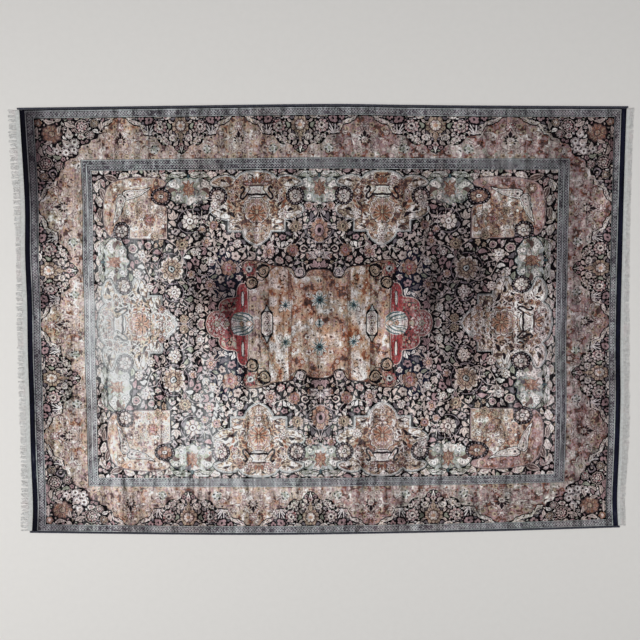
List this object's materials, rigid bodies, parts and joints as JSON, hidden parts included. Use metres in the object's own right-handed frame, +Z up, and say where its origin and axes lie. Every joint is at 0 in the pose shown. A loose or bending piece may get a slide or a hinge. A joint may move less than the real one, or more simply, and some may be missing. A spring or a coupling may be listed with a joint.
{
  "type": "kashmir silk rug",
  "caption": "Hand-knotted silk pile rug with a medallion field, scalloped border, overcast long sides and knotted warp fringe at both ends.",
  "frame": {"origin": "middle of the rug's underside, on the surface it lies on", "axes": "+X along the rug's length, +Z up out of the pile"},
  "size_m": [2.4916, 1.7362, 0.0066],
  "materials": {
    "silk_pile": "knotted silk pile in many colours, soft sheen that changes with the lay",
    "overcast_yarn": "navy wool yarn wound round the edge cord",
    "warp_yarn": "cream twisted warp ends and flat weave"
  },
  "bodies": {
    "root": {"pile_body": "silk_pile", "selvedge_far": "overcast_yarn", "selvedge_near": "overcast_yarn", "fringed_web_left": "warp_yarn", "fringed_web_right": "warp_yarn"}
  },
  "joints": []
}
